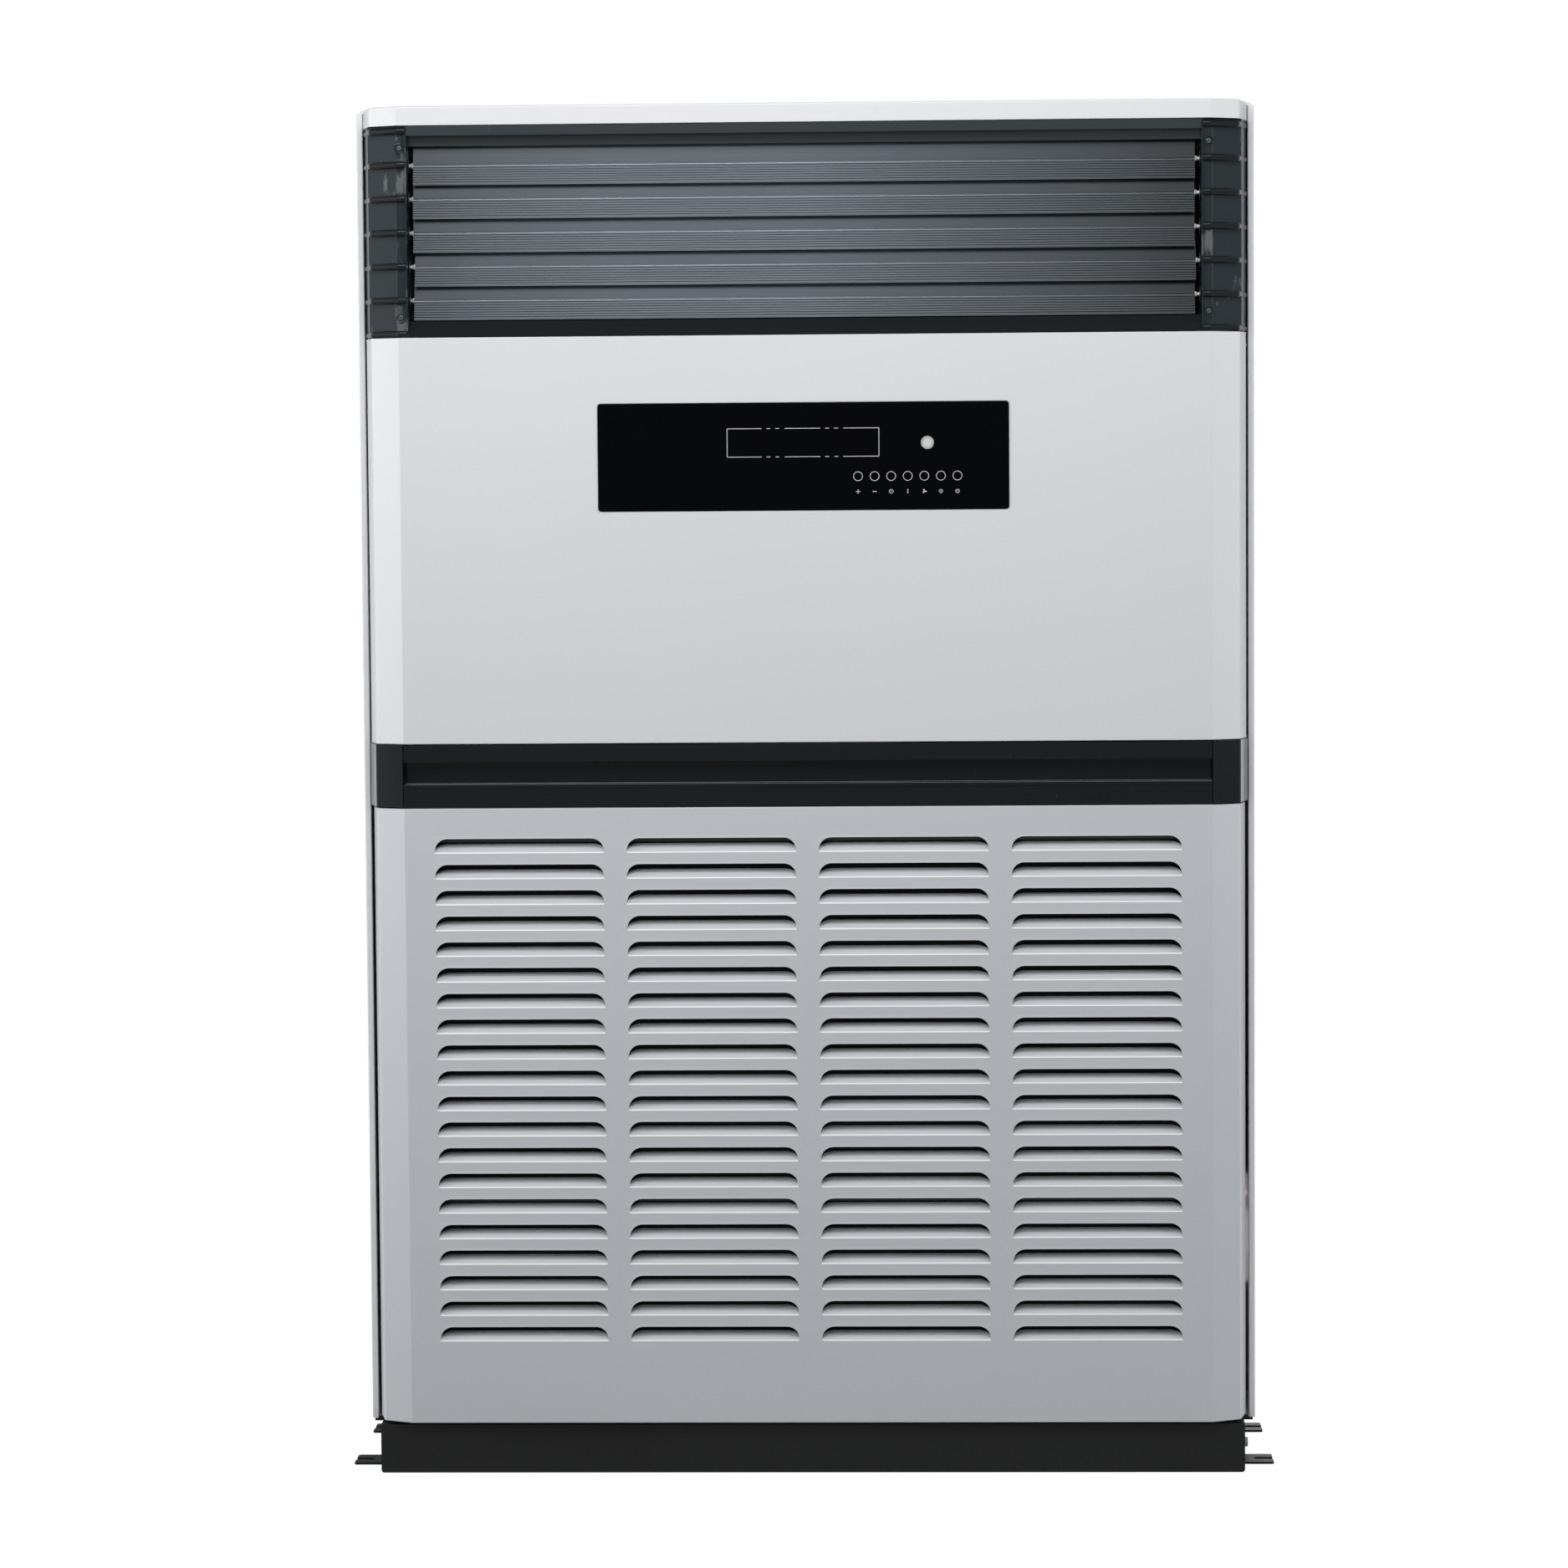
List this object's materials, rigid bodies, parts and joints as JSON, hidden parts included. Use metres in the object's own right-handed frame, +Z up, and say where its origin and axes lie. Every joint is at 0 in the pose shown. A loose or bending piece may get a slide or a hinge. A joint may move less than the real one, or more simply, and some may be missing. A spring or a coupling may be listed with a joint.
{
  "type": "floor standing air conditioner",
  "caption": "Tall floor-standing cabinet air conditioner: louvred intake panel below, key and display plate in the middle, swinging fluted vanes at the top outlet.",
  "frame": {"origin": "middle of the footprint, on the floor", "axes": "+Z up, the front faces -Y, +X to the right of a person who looks at the front"},
  "size_m": [1.25, 0.42, 1.835],
  "materials": {
    "casing_white": "satin, light grey-white powder coat",
    "band_black": "gloss black",
    "plinth_dark": "matt dark grey paint",
    "foot_steel": "dark painted steel",
    "outlet_dark": "gloss dark grey",
    "vane_grey": "fluted, semi-gloss grey",
    "blade_dark": "matt dark grey",
    "display_black": "polished black",
    "lens_smoke": "translucent, dotted",
    "white_plastic": "moulded, natural",
    "filter_net": "matt dark net",
    "zinc_steel": "galvanised",
    "steel_bright": "turned steel",
    "copper": "copper tube",
    "fin_aluminium": "thin sheet",
    "board_green": "circuit board",
    "motor_grey": "grey paint",
    "nylon_black": "black nylon"
  },
  "bodies": {
    "cabinet": {"side_panel_left": "casing_white", "side_panel_right": "casing_white", "rear_panel": "casing_white", "top_cover": "casing_white", "upper_front_panel": "casing_white", "trim_band": "band_black", "trim_cap_left": "band_black", "trim_cap_right": "band_black", "base_frame": "plinth_dark", "anchor_feet": "foot_steel", "outlet_top_rail": "outlet_dark", "outlet_bottom_rail": "outlet_dark", "outlet_end_left": "outlet_dark", "outlet_end_right": "outlet_dark", "vane_bushes": "nylon_black", "blade_rails": "nylon_black", "cable_gland": "nylon_black", "display_fascia": "display_black", "receiver_lens": "lens_smoke", "display_housing": "white_plastic", "swing_motor": "white_plastic", "drain_spout": "white_plastic", "blower_housings": "zinc_steel", "fan_deck": "zinc_steel", "plenum_floor": "zinc_steel", "control_box": "zinc_steel", "coil_end_plates": "zinc_steel", "drain_pan": "zinc_steel", "casing_screws": "steel_bright", "evaporator_tubes": "copper", "refrigerant_pipes": "copper", "evaporator_fins": "fin_aluminium", "display_board": "board_green", "control_board": "board_green", "fan_motor": "motor_grey"},
    "vane_1": {"vane_1": "vane_grey"},
    "vane_2": {"vane_2": "vane_grey"},
    "vane_3": {"vane_3": "vane_grey"},
    "vane_4": {"vane_4": "vane_grey"},
    "vane_5": {"vane_5": "vane_grey"},
    "vane_link": {"vane_link": "blade_dark"},
    "blade_1": {"swing_blade_1": "blade_dark"},
    "blade_2": {"swing_blade_2": "blade_dark"},
    "blade_3": {"swing_blade_3": "blade_dark"},
    "blade_4": {"swing_blade_4": "blade_dark"},
    "blade_5": {"swing_blade_5": "blade_dark"},
    "blade_6": {"swing_blade_6": "blade_dark"},
    "blade_link": {"blade_link": "blade_dark"},
    "fan_rotor": {"fan_shaft": "steel_bright", "blower_wheels": "zinc_steel"},
    "lower_panel": {"lower_front_panel": "casing_white", "air_filter": "filter_net"},
    "key_plus": {"key_plus": "display_black"},
    "key_minus": {"key_minus": "display_black"},
    "key_timer": {"key_timer": "display_black"},
    "key_swing": {"key_swing": "display_black"},
    "key_fan": {"key_fan": "display_black"},
    "key_mode": {"key_mode": "display_black"},
    "key_power": {"key_power": "display_black"}
  },
  "joints": [
    {"name": "vane_1_swing", "type": "hinge", "parent": "cabinet", "child": "vane_1", "pos_m": [0, -0.18, 1.75815], "axis": [-1, 0, 0], "range_deg": [0, 75]},
    {"name": "vane_2_swing", "type": "hinge", "parent": "cabinet", "child": "vane_2", "pos_m": [0, -0.18, 1.7134], "axis": [-1, 0, 0], "range_deg": [0, 75]},
    {"name": "vane_3_swing", "type": "hinge", "parent": "cabinet", "child": "vane_3", "pos_m": [0, -0.18, 1.66865], "axis": [-1, 0, 0], "range_deg": [0, 75]},
    {"name": "vane_4_swing", "type": "hinge", "parent": "cabinet", "child": "vane_4", "pos_m": [0, -0.18, 1.6239], "axis": [-1, 0, 0], "range_deg": [0, 75]},
    {"name": "vane_5_swing", "type": "hinge", "parent": "cabinet", "child": "vane_5", "pos_m": [0, -0.18, 1.57915], "axis": [-1, 0, 0], "range_deg": [0, 75]},
    {"name": "vane_link_pivot", "type": "hinge", "parent": "vane_1", "child": "vane_link", "pos_m": [-0.486, -0.16887, 1.78645], "axis": [-1, 0, 0], "range_deg": [-75, 0]},
    {"name": "blade_1_swing", "type": "hinge", "parent": "cabinet", "child": "blade_1", "pos_m": [-0.4125, -0.118, 1.67], "axis": [0, 0, 1], "range_deg": [-40, 40]},
    {"name": "blade_2_swing", "type": "hinge", "parent": "cabinet", "child": "blade_2", "pos_m": [-0.2475, -0.118, 1.67], "axis": [0, 0, 1], "range_deg": [-40, 40]},
    {"name": "blade_3_swing", "type": "hinge", "parent": "cabinet", "child": "blade_3", "pos_m": [-0.0825, -0.118, 1.67], "axis": [0, 0, 1], "range_deg": [-40, 40]},
    {"name": "blade_4_swing", "type": "hinge", "parent": "cabinet", "child": "blade_4", "pos_m": [0.0825, -0.118, 1.67], "axis": [0, 0, 1], "range_deg": [-40, 40]},
    {"name": "blade_5_swing", "type": "hinge", "parent": "cabinet", "child": "blade_5", "pos_m": [0.2475, -0.118, 1.67], "axis": [0, 0, 1], "range_deg": [-40, 40]},
    {"name": "blade_6_swing", "type": "hinge", "parent": "cabinet", "child": "blade_6", "pos_m": [0.4125, -0.118, 1.67], "axis": [0, 0, 1], "range_deg": [-40, 40]},
    {"name": "blade_link_pivot", "type": "hinge", "parent": "blade_1", "child": "blade_link", "pos_m": [-0.4125, -0.098, 1.579], "axis": [0, 0, 1], "range_deg": [-40, 40]},
    {"name": "fan_spin", "type": "hinge", "parent": "cabinet", "child": "fan_rotor", "pos_m": [0, 0.005, 1.24], "axis": [1, 0, 0], "continuous": true},
    {"name": "lower_panel_pull", "type": "slide", "parent": "cabinet", "child": "lower_panel", "axis": [0, -1, 0], "range_m": [0, 0.25]},
    {"name": "key_plus_press", "type": "slide", "parent": "cabinet", "child": "key_plus", "axis": [0, 1, 0], "range_m": [0, 0.0008], "stiffness_N_per_m": 600},
    {"name": "key_minus_press", "type": "slide", "parent": "cabinet", "child": "key_minus", "axis": [0, 1, 0], "range_m": [0, 0.0008], "stiffness_N_per_m": 600},
    {"name": "key_timer_press", "type": "slide", "parent": "cabinet", "child": "key_timer", "axis": [0, 1, 0], "range_m": [0, 0.0008], "stiffness_N_per_m": 600},
    {"name": "key_swing_press", "type": "slide", "parent": "cabinet", "child": "key_swing", "axis": [0, 1, 0], "range_m": [0, 0.0008], "stiffness_N_per_m": 600},
    {"name": "key_fan_press", "type": "slide", "parent": "cabinet", "child": "key_fan", "axis": [0, 1, 0], "range_m": [0, 0.0008], "stiffness_N_per_m": 600},
    {"name": "key_mode_press", "type": "slide", "parent": "cabinet", "child": "key_mode", "axis": [0, 1, 0], "range_m": [0, 0.0008], "stiffness_N_per_m": 600},
    {"name": "key_power_press", "type": "slide", "parent": "cabinet", "child": "key_power", "axis": [0, 1, 0], "range_m": [0, 0.0008], "stiffness_N_per_m": 600}
  ],
  "couplings": [
    {"joint": "vane_2_swing", "follows": "vane_1_swing", "ratio": 1},
    {"joint": "vane_3_swing", "follows": "vane_1_swing", "ratio": 1},
    {"joint": "vane_4_swing", "follows": "vane_1_swing", "ratio": 1},
    {"joint": "vane_5_swing", "follows": "vane_1_swing", "ratio": 1},
    {"joint": "vane_link_pivot", "follows": "vane_1_swing", "ratio": -1},
    {"joint": "blade_2_swing", "follows": "blade_1_swing", "ratio": 1},
    {"joint": "blade_3_swing", "follows": "blade_1_swing", "ratio": 1},
    {"joint": "blade_4_swing", "follows": "blade_1_swing", "ratio": 1},
    {"joint": "blade_5_swing", "follows": "blade_1_swing", "ratio": 1},
    {"joint": "blade_6_swing", "follows": "blade_1_swing", "ratio": 1},
    {"joint": "blade_link_pivot", "follows": "blade_1_swing", "ratio": -1}
  ]
}
